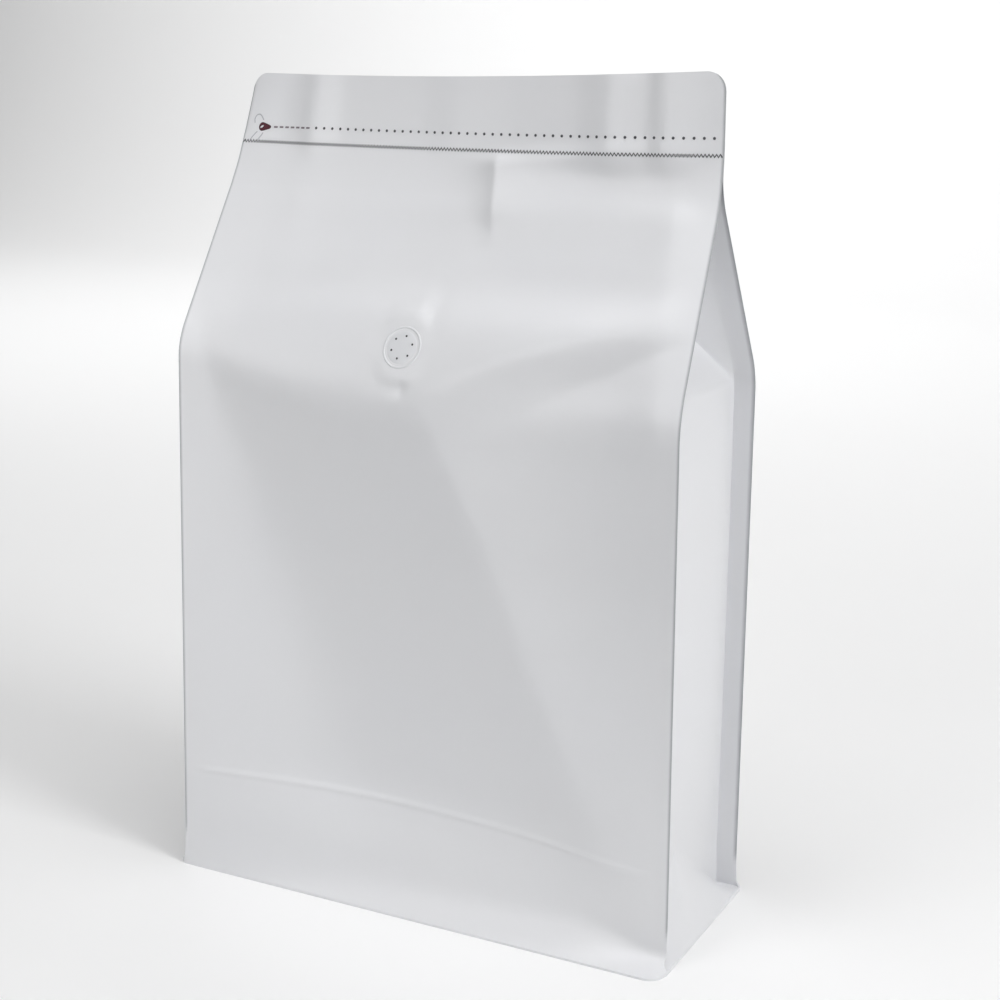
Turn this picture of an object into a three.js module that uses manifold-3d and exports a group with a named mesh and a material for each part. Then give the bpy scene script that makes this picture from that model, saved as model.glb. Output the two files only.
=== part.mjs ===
// Flat-bottom foil bag, full and sealed, standing on its base.
// Millimetres, +Z up. The origin is on the floor at the middle of the base,
// the front panel looks along -Y and +X is to the right as the front is seen.
//
// The bag is an envelope of two panels, front and back, whose edges stand out past the
// sides as sealed fins. Between the fins of each side lies a gusset: it stands upright
// on the body, folds inward under the closed top and spreads out over the base seam.

import * as THREE from 'three';
import { mergeVertices } from 'three/addons/utils/BufferGeometryUtils.js';
import Module from 'manifold-3d';

// Driving dimensions ---------------------------------------------------------

const panelHalfWidth = 119.5;    // middle to the edge of a side fin
const bagHeight = 365;           // floor to the top edge at its right end
const topEdge = { leftDrop: 2, sag: 2 };         // lower at the left end and in the middle
const topCornerRadius = 8;

const finWidth = 9.5;            // sealed fin at each upright edge
const finThickness = 0.8;
const headerThickness = 1.2;
const seamThickening = 2;        // the fins are stiffer where they meet the base seam

const baseHalfWidth = 121.8;     // rim of the base seam
const baseHalfDepth = 50;
const cornerRadius = { frontRight: 8, other: 3 };
const baseRimThickness = 1;
const flareHeight = { middle: 20, right: 7 };    // where the seam starts to turn outward

// y of the panels at their left and right edges
const frontWall = { leftBase: -48.5, rightBase: -36.8, leftShoulder: -41, rightShoulder: -42 };
const backWall = { leftBase: 47, rightBase: 47.2, leftShoulder: 45, rightShoulder: 45.5 };
const shoulderHeight = 236;      // where the gussets start to fold in
const frontShoulder = { lowest: 226, rise: 18, middle: 30, reach: 137 };
const backShoulder = { lowest: 232, rise: 8, middle: 0, reach: 119.5 };
const shoulderSoftness = 5;
const backBelly = 3;
const bellyHeights = { full: 120, easing: 200, none: 300 };
const frontSag = 2.5;            // the front panel lies a little back between its side seals
const sagHeights = { full: 120, easing: 290, none: 331 };

const header = { bottom: 328, overlap: 12, left: 11.5, right: -4.5, leanLeft: 0.4, leanRight: -0.03 };
const headerSoftness = 5;
// The header's wave: places across and how far it stands back there from a straight run
const headerWave = [
  [-119.5, -1.2], [-98, 0.3], [-90, 0.1], [-81, -1.4], [-66, 0.3], [-21, 0.3],
  [-6, -0.4], [21, -0.4], [36, -0.9], [55, -1.5], [71, -3.6], [85, -0.9],
  [88, -1], [94, -2.6], [108, 0.2], [119.5, 1],
];
const gableTop = { left: 327, right: 318 };      // height at which the panels meet

const gussetPlane = panelHalfWidth - finWidth;   // x of the upright gusset
const gussetHalf = 42;           // half of the gusset's flat width
const gussetBelly = { bulge: 4, flatness: 5, low: [4, 85], high: [245, 205] };
const baseFold = { height: 45, place: -0.38 };   // peak of the folded triangle over the base
const gableFoldHeight = 55;      // peak of the folded triangle under the closed top

// The front panel's relief: the film bends along these creases, seen from the front. Each
// has its two ends (x, z), the slope gained across it, how soft it is and how far it fades
// at either end, and the height where it ends below the header.
const frontCreases = [
  { from: [-113, 256], to: [-25, 18], bend: -0.34, soft: [4, 24], fade: [12, 90], top: [285, 238] },
  { from: [6, 224], to: [118, -12], bend: 0.27, soft: [4, 8], fade: [14, 50], top: [285, 238] },
  { from: [99, 282], to: [66, 22], bend: -0.48, soft: [50, 50], fade: [37, 43], top: [285, 238] },
  { from: [101, 322], to: [109, 222], bend: 0.26, soft: [3, 4], fade: [20, 16], top: [331, 305] },
];
const creaseStart = { none: 4, full: 60 };       // heights over which the relief sets in
const foldMark = { height: 47.7, fall: 3.3, from: -10, reach: 81, rise: 0.45, soft: 1.6 };
const zipPleat = {
  x: 20, top: 331, tip: 289,                     // its line, from the header to its tip
  height: 4.2, left: 9, right: 34, soft: 1.5, fade: 26,
};

const valve = { x: -8.4, z: 251.7, radius: 8.7, thickness: 1, rim: 1.2, rimHeight: 0.35 };
const valveSeat = { depth: 0.5, gap: 0.3 };
const pinHole = { circle: 5.1, radius: 0.4, count: 6, turn: 0.32 };

const filmColour = 0xdcdde2;
const valveColour = 0xd4d5dc;

// Small helpers --------------------------------------------------------------

const clamp01 = (value) => Math.min(1, Math.max(0, value));
const mix = (a, b, t) => a + (b - a) * t;

function ease(from, to, value) {
  const t = clamp01((value - from) / (to - from));
  return t * t * (3 - 2 * t);
}

// Smaller and larger of two values, rounded where they cross.
function softMin(a, b, round) {
  const near = Math.max(round - Math.abs(a - b), 0) / round;
  return Math.min(a, b) - near * near * round / 4;
}

const softMax = (a, b, round) => -softMin(-a, -b, round);

// 0 on the one side of a crease and a rising slope on the other.
function ramp(distance, soft) {
  return (distance + Math.sqrt(distance * distance + soft * soft)) / 2;
}

// Panels ---------------------------------------------------------------------

const leftToRight = (x) => clamp01((x / panelHalfWidth + 1) / 2);

function waveDepth(x) {
  const next = Math.max(1, headerWave.findIndex(([place]) => place >= x));
  const [x0, depth0] = headerWave[next - 1];
  const [x1, depth1] = headerWave[next];
  return mix(depth0, depth1, ease(x0, x1, x));
}

function headerY(x, z) {
  const across = leftToRight(x);
  const lean = mix(header.leanLeft, header.leanRight, Math.sqrt(across));
  const inside = Math.min(panelHalfWidth, Math.max(-panelHalfWidth, x));
  const wave = waveDepth(inside) * ease(header.bottom - 8, header.bottom + 8, z);
  const above = Math.max(z - header.bottom, -header.overlap);
  return mix(header.left, header.right, across) + lean * above + wave;
}

function shoulderZ(shoulder, x) {
  const { lowest, rise, middle, reach } = shoulder;
  return lowest + rise * ((x - middle) / reach) ** 2;
}

function wallY(wall, x, z) {
  const across = leftToRight(x);
  const atBase = mix(wall.leftBase, wall.rightBase, across);
  const atShoulder = mix(wall.leftShoulder, wall.rightShoulder, across);
  return mix(atBase, atShoulder, z / shoulderHeight);
}

// The slope from the shoulder to the header.
function gableY(wall, shoulder, x, z) {
  const low = shoulderZ(shoulder, x);
  const high = mix(gableTop.left, gableTop.right, leftToRight(x));
  return mix(wallY(wall, x, low), headerY(x, high), (z - low) / (high - low));
}

function creaseRelief(crease, x, z) {
  const [x0, z0] = crease.from;
  const [x1, z1] = crease.to;
  const [fadeStart, fadeEnd] = crease.fade;
  const length = Math.hypot(x1 - x0, z1 - z0);
  const alongX = (x1 - x0) / length;
  const alongZ = (z1 - z0) / length;
  const along = (x - x0) * alongX + (z - z0) * alongZ;
  const across = (z - z0) * alongX - (x - x0) * alongZ;
  const inside = ease(-fadeStart, fadeStart, along) * ease(-fadeEnd, fadeEnd, length - along);
  const soft = mix(...crease.soft, clamp01(along / length));
  return crease.bend * ramp(across, soft) * inside * ease(...crease.top, z);
}

// The same relief with both side edges of the panel kept in their places.
function hinged(crease, x, z) {
  const atLeft = creaseRelief(crease, -panelHalfWidth, z);
  const atRight = creaseRelief(crease, panelHalfWidth, z);
  return creaseRelief(crease, x, z) - mix(atLeft, atRight, leftToRight(x));
}

// Outline of the base rim: a rounded rectangle, as its distance from the middle line.
function rimY(x, radius) {
  const past = Math.min(radius, Math.max(0, Math.abs(x) - (baseHalfWidth - radius)));
  return baseHalfDepth - radius + Math.sqrt(radius ** 2 - past ** 2);
}

// How far the seam has turned from the wall, 0, towards the rim, 1.
function flare(x, z) {
  const height = mix(flareHeight.middle, flareHeight.right, ease(70, 116, x));
  const up = clamp01((z - baseRimThickness) / height);
  return (1 - up) ** 2.4;
}

const archAcross = (x) => Math.cos(x / panelHalfWidth * Math.PI / 2);

function frontRelief(x, z) {
  let relief = 0;
  for (const crease of frontCreases) relief += hinged(crease, x, z);
  const { full, easing, none } = sagHeights;
  const sag = frontSag * archAcross(x) * ease(0, full, z) * ease(none, easing, z);
  const markZ = foldMark.height - foldMark.fall * (Math.max(0, x - foldMark.from) / foldMark.reach) ** 2;
  const mark = foldMark.rise * Math.exp(-(((z - markZ) / foldMark.soft) ** 2));
  const fromEdge = panelHalfWidth - Math.abs(x);
  return relief * ease(creaseStart.none, creaseStart.full, z) + sag - mark * ease(4, 12, fromEdge);
}

// A short pleat that stands out under the header and runs out down the slope.
function pleatRelief(x, z) {
  const width = x < zipPleat.x ? zipPleat.left : zipPleat.right;
  const away = Math.hypot(x - zipPleat.x, zipPleat.soft) - zipPleat.soft;
  const belowTop = ease(zipPleat.top + 4, zipPleat.top - 4, z);
  const aboveTip = ease(zipPleat.tip, zipPleat.tip + zipPleat.fade, z);
  return -zipPleat.height * Math.exp(-away / width) * belowTop * aboveTip;
}

function roughFrontY(x, z) {
  const wall = wallY(frontWall, x, z);
  const gable = gableY(frontWall, frontShoulder, x, z);
  const body = softMax(wall, gable, shoulderSoftness) + frontRelief(x, z);
  const face = softMin(body, headerY(x, z) - headerThickness / 2, headerSoftness);
  const radius = x > 0 ? cornerRadius.frontRight : cornerRadius.other;
  return mix(face, -rimY(x, radius), flare(x, z));
}

// The film lies flat against the valve.
const valvePlane = (() => {
  const step = 6;
  const at = roughFrontY(valve.x, valve.z);
  const slopeX = (roughFrontY(valve.x + step, valve.z) - roughFrontY(valve.x - step, valve.z)) / (2 * step);
  const slopeZ = (roughFrontY(valve.x, valve.z + step) - roughFrontY(valve.x, valve.z - step)) / (2 * step);
  return { at, slopeX, slopeZ };
})();

function frontY(x, z) {
  const plane = valvePlane.at + valvePlane.slopeX * (x - valve.x) + valvePlane.slopeZ * (z - valve.z);
  const away = Math.hypot(x - valve.x, z - valve.z);
  const flat = mix(plane, roughFrontY(x, z), ease(valve.radius + 2, valve.radius + 14, away));
  return Math.min(flat + pleatRelief(x, z), backY(x, z) - headerThickness);
}

function backY(x, z) {
  const wall = wallY(backWall, x, z);
  const { full, easing, none } = bellyHeights;
  const belly = backBelly * archAcross(x) * ease(0, full, z) * ease(none, easing, z);
  const body = softMin(wall, gableY(backWall, backShoulder, x, z), shoulderSoftness) + belly;
  const face = softMax(body, headerY(x, z) + headerThickness / 2, headerSoftness);
  return mix(face, rimY(x, cornerRadius.other), flare(-Math.abs(x), z));
}

// The top edge dips a little towards its left end and its middle.
function settle(point) {
  const sag = topEdge.sag * (1 - (point.x / panelHalfWidth) ** 2);
  const dip = sag + topEdge.leftDrop * (1 - leftToRight(point.x));
  point.z -= dip * ease(header.bottom - 20, bagHeight, point.z);
  return point;
}

// Lofts ----------------------------------------------------------------------

// A closed solid from rings of equal count, each anticlockwise seen from above.
function loft(rings) {
  const count = rings[0].length;
  const positions = rings.flat().flatMap((point) => [point.x, point.y, point.z]);
  const faces = [];
  for (let level = 0; level + 1 < rings.length; level += 1) {
    for (let i = 0; i < count; i += 1) {
      const a = level * count + i;
      const b = level * count + (i + 1) % count;
      faces.push(a, b, b + count, a, b + count, a + count);
    }
  }
  const cap = (ring, offset, flip) => {
    const outline = ring.map((point) => new THREE.Vector2(point.x, point.y));
    for (const [a, b, c] of THREE.ShapeUtils.triangulateShape(outline, [])) {
      if (flip) faces.push(offset + c, offset + b, offset + a);
      else faces.push(offset + a, offset + b, offset + c);
    }
  };
  cap(rings[0], 0, true);
  cap(rings.at(-1), (rings.length - 1) * count, false);
  const geometry = new THREE.BufferGeometry();
  geometry.setAttribute('position', new THREE.Float32BufferAttribute(positions, 3));
  geometry.setIndex(faces);
  return geometry;
}

function levels(from, to, step) {
  const count = Math.max(1, Math.round((to - from) / step));
  return Array.from({ length: count }, (_, i) => mix(from, to, i / count));
}

function halfWidthAt(z) {
  const pastCorner = Math.max(0, z - (bagHeight - topCornerRadius));
  const corner = topCornerRadius - Math.sqrt(topCornerRadius ** 2 - pastCorner ** 2);
  const rim = (baseHalfWidth - panelHalfWidth) * ease(4, baseRimThickness, z);
  return panelHalfWidth + rim - corner;
}

// Columns across a panel, closer together towards its edges.
const panelColumns = 31;

function columnX(i, halfWidth) {
  const t = i / panelColumns * 2 - 1;
  return halfWidth * mix(t, Math.sin(t * Math.PI / 2), 0.72);
}

function envelope() {
  const heights = [
    0, baseRimThickness, 2.2, 4, 6.5, 10, 15, 24, 36,
    ...levels(42, 48, 2),
    ...levels(48, 216, 14),
    ...levels(216, 252, 4.5),
    ...levels(252, 312, 8.6),
    ...levels(312, 336, 4),
    ...levels(336, bagHeight - topCornerRadius, 10),
  ];
  for (let turn = 0; turn <= 4; turn += 1) {
    const past = Math.sin(turn / 4 * Math.PI / 2) * (topCornerRadius - 0.05);
    heights.push(bagHeight - topCornerRadius + past);
  }
  const rings = heights.map((z) => {
    const halfWidth = halfWidthAt(z);
    const ring = [];
    for (let i = 0; i <= panelColumns; i += 1) {
      const x = columnX(i, halfWidth);
      ring.push(settle(new THREE.Vector3(x, frontY(x, z), z)));
    }
    for (let i = panelColumns; i >= 0; i -= 1) {
      const x = columnX(i, halfWidth);
      ring.push(settle(new THREE.Vector3(x, backY(x, z), z)));
    }
    return ring;
  });
  return loft(rings);
}

// Gussets --------------------------------------------------------------------

// Half of the gusset that stays flat at a height, between its two inward folds.
function flatHalf(above, open) {
  return Math.min(gussetHalf * clamp01(1 - above / gableFoldHeight), open * 0.98);
}

// How far the gusset's surface lies outside (+) or inside (-) its upright plane at a
// place across it, -1 at the front fin and 1 at the back fin.
function gussetOffset(place, open, z) {
  const { height, place: peak } = baseFold;
  const share = place < peak ? (place + 1) / (peak + 1) : (1 - place) / (1 - peak);
  const foldZ = height * clamp01(share);
  const spread = foldZ > 0.01 ? clamp01(1 - (z - baseRimThickness) / foldZ) : 0;
  const overBase = (baseHalfWidth - gussetPlane) * spread;
  const filling = ease(...gussetBelly.low, z) * ease(...gussetBelly.high, z);
  const belly = gussetBelly.bulge * (1 - Math.abs(place) ** gussetBelly.flatness) * filling;
  const above = z - shoulderHeight;
  if (above <= 0) return Math.max(overBase, belly * (1 - spread));
  const half = Math.min(open, gussetHalf);
  const flat = flatHalf(above, half);
  const depth = Math.sqrt(Math.max(0, (gussetHalf - half) * (gussetHalf + half - 2 * flat)));
  return belly - depth * clamp01((half - Math.abs(place) * open) / (half - flat));
}

// Places across the gusset with one on each of its folds, denser near them.
function gussetPlaces(z, open) {
  const { height, place: peak } = baseFold;
  const narrowest = 0.12;
  const widest = 0.97;
  const share = 1 - clamp01((z - baseRimThickness) / height);
  const wide = Math.min(widest, Math.max(narrowest, share));
  const upright = ease(height, height + 20, z);
  const bellyEdge = 0.8;
  let low = mix(peak - (peak + 1) * wide, -bellyEdge, upright);
  let high = mix(peak + (1 - peak) * wide, bellyEdge, upright);
  if (z > shoulderHeight) {
    high = Math.max(0.01, flatHalf(z - shoulderHeight, open) / open);
    low = -high;
  }
  const middle = (low + high) / 2;
  const between = (a, b, shares) => shares.map((share) => mix(a, b, share));
  return [
    ...between(-1, low, [0, 0.5]), ...between(low, middle, [0, 0.45]),
    ...between(middle, high, [0, 0.55]), ...between(high, 1, [0, 0.5, 1]),
  ];
}

// The free space outside a gusset, between the two fins of its side (1 right, -1 left).
function gussetSpace(side) {
  const outside = baseHalfWidth + 6;
  const middleOfFin = gussetPlane + finWidth / 2;
  const heights = [
    baseRimThickness, 2.2, 4, 6.5, 10, 15, 24, 34, 42,
    ...levels(48, 88, 13),
    ...levels(88, 204, 29),
    ...levels(204, 231, 9),
    ...levels(231, 246, 3),
    ...levels(246, 330, 6),
  ];
  const rings = [];
  for (const z of heights) {
    const thickness = finThickness + seamThickening * ease(10, baseRimThickness, z);
    const inner = (x) => frontY(side * x, z) + thickness;
    const outer = (x) => backY(side * x, z) - thickness;
    const open = (outer(gussetPlane) - inner(gussetPlane)) / 2;
    const places = open > 0.4 ? gussetPlaces(z, open) : [];
    const ring = places.map((place) => {
      const x = gussetPlane + gussetOffset(place, open, z);
      return [x, mix(inner(x), outer(x), (place + 1) / 2)];
    });
    const gaps = [...ring.map(([x]) => x), panelHalfWidth].map((x) => outer(x) - inner(x));
    if (open <= 0.4 || Math.min(...gaps) < 0.8) break;
    ring.push([middleOfFin, outer(middleOfFin)], [panelHalfWidth, outer(panelHalfWidth)]);
    ring.push([outside, outer(panelHalfWidth)], [outside, inner(panelHalfWidth)]);
    ring.push([panelHalfWidth, inner(panelHalfWidth)], [middleOfFin, inner(middleOfFin)]);
    const placed = ring.map(([x, y]) => settle(new THREE.Vector3(side * x, y, z)));
    rings.push(side > 0 ? placed.reverse() : placed);
  }
  return loft(rings);
}

// Valve ----------------------------------------------------------------------

const valveFrame = (() => {
  const point = new THREE.Vector3(valve.x, valvePlane.at, valve.z);
  const outward = new THREE.Vector3(valvePlane.slopeX, -1, valvePlane.slopeZ).normalize();
  return { point, outward };
})();

// Turns a shape made along +Y so that it points out of the panel at the valve.
function placeOnPanel(geometry, lift) {
  const turn = new THREE.Quaternion().setFromUnitVectors(new THREE.Vector3(0, 1, 0), valveFrame.outward);
  geometry.applyQuaternion(turn);
  const shift = valveFrame.point.clone().addScaledVector(valveFrame.outward, lift);
  return geometry.translate(shift.x, shift.y, shift.z);
}

function valveDisc() {
  const { radius, thickness, rim, rimHeight } = valve;
  const profile = [
    [0, 0], [radius, 0], [radius, thickness - rimHeight], [radius - 0.3, thickness],
    [radius - rim, thickness], [radius - rim - 0.4, thickness - rimHeight], [0, thickness - rimHeight],
  ];
  return new THREE.LatheGeometry(profile.map(([r, h]) => new THREE.Vector2(r, h)), 48);
}

// A plain round cutter that starts at height 0 and runs along +Y.
function cutter(radius, from, to, sides) {
  const geometry = new THREE.CylinderGeometry(radius, radius, to - from, sides);
  return geometry.translate(0, (from + to) / 2, 0);
}

// Cutting and joining --------------------------------------------------------

const wasm = await Module();
wasm.setup();

function solid(geometry) {
  geometry.deleteAttribute('normal');
  geometry.deleteAttribute('uv');
  const merged = mergeVertices(geometry, 1e-4);
  const mesh = new wasm.Mesh({
    numProp: 3,
    vertProperties: new Float32Array(merged.attributes.position.array),
    triVerts: new Uint32Array(merged.index.array),
  });
  mesh.merge();
  return new wasm.Manifold(mesh);
}

function geometryOf(body) {
  const mesh = body.getMesh();
  const geometry = new THREE.BufferGeometry();
  geometry.setAttribute('position', new THREE.BufferAttribute(mesh.vertProperties, 3));
  geometry.setIndex(new THREE.BufferAttribute(mesh.triVerts, 1));
  geometry.computeVertexNormals();
  return geometry;
}

function makeBag() {
  const seatCutter = cutter(valve.radius + valveSeat.gap, 0, 6, 48);
  return solid(envelope())
    .subtract(solid(gussetSpace(1)))
    .subtract(solid(gussetSpace(-1)))
    .subtract(solid(placeOnPanel(seatCutter, -valveSeat.depth)));
}

function makeValve() {
  let disc = solid(valveDisc());
  for (let i = 0; i < pinHole.count; i += 1) {
    const angle = pinHole.turn + i / pinHole.count * Math.PI * 2;
    const hole = cutter(pinHole.radius, -1, valve.thickness + 1, 10);
    hole.translate(pinHole.circle * Math.cos(angle), 0, pinHole.circle * Math.sin(angle));
    disc = disc.subtract(solid(hole));
  }
  return disc;
}

// Parts ----------------------------------------------------------------------

const bag = new THREE.Group();

const film = new THREE.MeshStandardMaterial({ color: filmColour, roughness: 0.5, metalness: 0 });
const body = new THREE.Mesh(geometryOf(makeBag()), film);
body.name = 'bag';
bag.add(body);

const cap = new THREE.MeshStandardMaterial({ color: valveColour, roughness: 0.45, metalness: 0 });
const valveGeometry = placeOnPanel(geometryOf(makeValve()), valveSeat.gap - valveSeat.depth);
const disc = new THREE.Mesh(valveGeometry, cap);
disc.name = 'valve';
bag.add(disc);

export default bag;
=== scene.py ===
import functools
import math

import bmesh
import bpy
import numpy as np
from mathutils import Matrix, Vector


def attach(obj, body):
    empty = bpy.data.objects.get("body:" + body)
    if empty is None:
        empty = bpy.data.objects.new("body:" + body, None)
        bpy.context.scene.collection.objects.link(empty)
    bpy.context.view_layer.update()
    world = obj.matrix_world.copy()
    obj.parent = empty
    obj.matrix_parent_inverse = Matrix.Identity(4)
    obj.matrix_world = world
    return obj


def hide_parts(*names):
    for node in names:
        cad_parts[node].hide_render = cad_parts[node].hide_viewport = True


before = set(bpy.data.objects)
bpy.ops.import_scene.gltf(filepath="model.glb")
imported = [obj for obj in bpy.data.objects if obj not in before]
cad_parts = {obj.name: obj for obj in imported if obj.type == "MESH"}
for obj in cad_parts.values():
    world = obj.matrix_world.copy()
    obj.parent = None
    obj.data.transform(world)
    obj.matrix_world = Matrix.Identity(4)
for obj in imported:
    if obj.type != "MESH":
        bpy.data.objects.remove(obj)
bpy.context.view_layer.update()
scene = bpy.context.scene
mm = 0.001  # the bag's sizes are in millimetres; camera, lamps, floor and textures are in metres
print("frame loaded")


# Small helpers

def mix(a, b, t):
    return a + (b - a) * t


def ease(low, high, value):
    t = np.clip((value - low) / (high - low), 0, 1)
    return t * t * (3 - 2 * t)


def softMin(a, b, rounding):
    near = np.maximum(rounding - np.abs(a - b), 0) / rounding
    return np.minimum(a, b) - near * near * rounding / 4


def softMax(a, b, rounding):
    return -softMin(-a, -b, rounding)


def ramp(distance, soft):  # 0 on one side of a crease, a rising slope on the other
    return (distance + np.sqrt(distance * distance + soft * soft)) / 2


def bump(distance, width):
    return np.exp(-(distance / width) ** 2)


# Camera, floor and light

camera = {
    "location": (0.35972, -0.65972, 0.36162),
    "yaw": 27.203,    # degrees, turned from the front towards the right side
    "pitch": 13.589,  # looking down
    "roll": 0.495,
    "focalPixels": 1747.96,
    "imageWidth": 1000,
}


def makeCamera():
    yaw, pitch, roll = (math.radians(camera[k]) for k in ("yaw", "pitch", "roll"))
    right = Vector((math.cos(yaw), math.sin(yaw), 0))
    level = Vector((-math.sin(yaw), math.cos(yaw), 0))
    up = level * math.sin(pitch) + Vector((0, 0, math.cos(pitch)))
    ahead = level * math.cos(pitch) - Vector((0, 0, math.sin(pitch)))
    side = right * math.cos(roll) + up * math.sin(roll)
    top = up * math.cos(roll) - right * math.sin(roll)
    data = bpy.data.cameras.new("camera")
    data.sensor_width = 36
    data.lens = data.sensor_width * camera["focalPixels"] / camera["imageWidth"]
    data.clip_start = 0.01
    data.clip_end = 50
    holder = bpy.data.objects.new("camera", data)
    turn = Matrix((side, top, -ahead)).transposed()
    holder.matrix_world = Matrix.Translation(camera["location"]) @ turn.to_4x4()
    scene.collection.objects.link(holder)
    scene.camera = holder


studio = {
    "world": 0.06,            # strength of the even light from all round
    "worldColour": (0.97, 0.98, 1.0),
    "floorColour": (0.88, 0.88, 0.88),
    "floorLighter": (0.90, 0.90, 0.90),
    "floorGlow": 0.06,
    "lamps": [                # name, place, aim, width, height, watts
        ("keySide", (1.6, -0.35, 1.1), (0, 0, 0.18), 0.6, 0.6, 16.5),
        ("overhead", (0.1, -0.3, 1.6), (0, 0, 0.18), 1.2, 1.0, 12.5),
        ("frontLeft", (-0.75, -1.55, 0.75), (0, 0, 0.2), 0.9, 0.8, 6.1),
        ("backdropLeft", (-1.0, 0.9, 2.2), (-2.0, 3.0, 0.9), 2.0, 0.6, 50.0),
        ("backdropRight", (0.5, 0.9, 2.2), (0.5, 3.0, 0.9), 2.0, 0.6, 15.0),
    ],
    "floorReach": 3.0,
    "wallAway": 2.2,          # where the floor starts to sweep up behind the bag
    "sweepRadius": 0.8,
    "sweepSteps": 16,
    "wallHeight": 3.0,
}


def makeStudio():
    world = bpy.data.worlds.new("studioWorld")
    scene.world = world
    world.use_nodes = True
    background = world.node_tree.nodes["Background"]
    background.inputs["Color"].default_value = (*studio["worldColour"], 1)
    background.inputs["Strength"].default_value = studio["world"]
    for name, place, aim, width, height, watts in studio["lamps"]:
        data = bpy.data.lights.new(name, "AREA")
        data.shape = "RECTANGLE"
        data.size = width
        data.size_y = height
        data.energy = watts
        lamp = bpy.data.objects.new(name, data)
        lamp.location = place
        lamp.rotation_euler = (Vector(aim) - Vector(place)).to_track_quat("-Z", "Y").to_euler()
        scene.collection.objects.link(lamp)
    reach, away, radius = studio["floorReach"], studio["wallAway"], studio["sweepRadius"]
    steps = studio["sweepSteps"]
    profile = [(-reach, 0.0), (away, 0.0)]
    for step in range(1, steps + 1):
        angle = step / steps * math.pi / 2
        profile.append((away + radius * math.sin(angle), radius * (1 - math.cos(angle))))
    profile.append((away + radius, studio["wallHeight"]))
    verts = [(side * reach, y, z) for y, z in profile for side in (-1, 1)]
    faces = [(2 * i, 2 * i + 1, 2 * i + 3, 2 * i + 2) for i in range(len(profile) - 1)]
    mesh = bpy.data.meshes.new("floor")
    mesh.from_pydata(verts, [], faces)
    mesh.shade_smooth()
    floor = bpy.data.objects.new("floor", mesh)
    scene.collection.objects.link(floor)
    return floor


# Materials: a wrapped socket that takes part in sums, and one call for any other node

class Wire:
    def __init__(self, graph, socket):
        self.graph = graph
        self.socket = socket

    def maths(self, operation, first, second):
        return self.graph.add("ShaderNodeMath", {"operation": operation}, {0: first, 1: second})

    def __add__(self, other):
        return self.maths("ADD", self, other)

    def __radd__(self, other):
        return self.maths("ADD", other, self)

    def __sub__(self, other):
        return self.maths("SUBTRACT", self, other)

    def __rsub__(self, other):
        return self.maths("SUBTRACT", other, self)

    def __mul__(self, other):
        return self.maths("MULTIPLY", self, other)

    def __rmul__(self, other):
        return self.maths("MULTIPLY", other, self)

    def __truediv__(self, other):
        return self.maths("DIVIDE", self, other)

    def __rtruediv__(self, other):
        return self.maths("DIVIDE", other, self)


class Graph:
    def __init__(self, tree):
        self.tree = tree

    def add(self, kind, settings, sockets, output=0):
        node = self.tree.nodes.new(kind)
        for name, value in settings.items():
            setattr(node, name, value)
        for name, value in sockets.items():
            self.feed(node.inputs[name], value)
        return Wire(self, node.outputs[output])

    def feed(self, socket, value):
        if isinstance(value, Wire):
            self.tree.links.new(value.socket, socket)
        else:
            socket.default_value = value


def newMaterial(name):
    material = bpy.data.materials.new(name)
    material.use_nodes = True
    shader = material.node_tree.nodes["Principled BSDF"]
    return material, Graph(material.node_tree), shader


def noise(graph, scale, detail, roughness=0.5):
    place = graph.add("ShaderNodeTexCoord", {}, {}, "Object")
    sockets = {"Vector": place, "Scale": scale, "Detail": detail, "Roughness": roughness}
    return graph.add("ShaderNodeTexNoise", {}, sockets)


def mixColour(graph, share, first, second):  # each a plain colour or a wire
    first, second = (c if isinstance(c, Wire) else (*c, 1) for c in (first, second))
    return graph.add("ShaderNodeMix", {"data_type": "RGBA"}, {0: share, 6: first, 7: second}, 2)


filmLook = {
    "colour": (0.790, 0.797, 0.822),
    "warmer": (0.805, 0.808, 0.822),  # faint drifts over the laminate
    "edge": (0.30, 0.31, 0.33),       # grey metal layer at the cut edges
    "edgeShare": 0.85,
    "roughness": 0.42,
    "drift": 14,                      # textures per metre
    "grain": 2600,
    "crinkle": 95,
    "crinkleHeight": 0.00012,
    "grainHeight": 0.000012,
    "coat": 0.10,
    "coatRoughness": 0.32,
}


def makeFilmMaterial():
    material, graph, shader = newMaterial("film")
    cut = graph.add("ShaderNodeAttribute", {"attribute_name": "cutEdge"}, {}, "Fac")
    seal = graph.add("ShaderNodeAttribute", {"attribute_name": "seal"}, {}, "Fac")
    drift = noise(graph, filmLook["drift"], 3)
    grain = noise(graph, filmLook["grain"], 2)
    crinkle = noise(graph, filmLook["crinkle"], 3, 0.42)
    colour = mixColour(graph, drift, filmLook["colour"], filmLook["warmer"])
    edged = mixColour(graph, cut * filmLook["edgeShare"], colour, filmLook["edge"])
    roughness = filmLook["roughness"] + (drift - 0.5) * 0.10 + (grain - 0.5) * 0.05 - seal * 0.04
    relief = graph.add("ShaderNodeBump", {}, {"Distance": filmLook["grainHeight"], "Height": grain})
    folded = graph.add("ShaderNodeBump", {}, {
        "Distance": filmLook["crinkleHeight"], "Height": crinkle * (1 - seal * 0.6),
        "Normal": relief,
    })
    graph.feed(shader.inputs["Base Color"], edged)
    graph.feed(shader.inputs["Roughness"], roughness)
    graph.feed(shader.inputs["Normal"], folded)
    shader.inputs["Coat Weight"].default_value = filmLook["coat"]
    shader.inputs["Coat Roughness"].default_value = filmLook["coatRoughness"]
    return material


valveLook = {
    "colour": (0.770, 0.778, 0.800),
    "deeper": (0.74, 0.75, 0.77),
    "roughness": 0.42,
    "drift": 160,
    "grain": 2600,
    "grainHeight": 0.000015,
}


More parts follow.
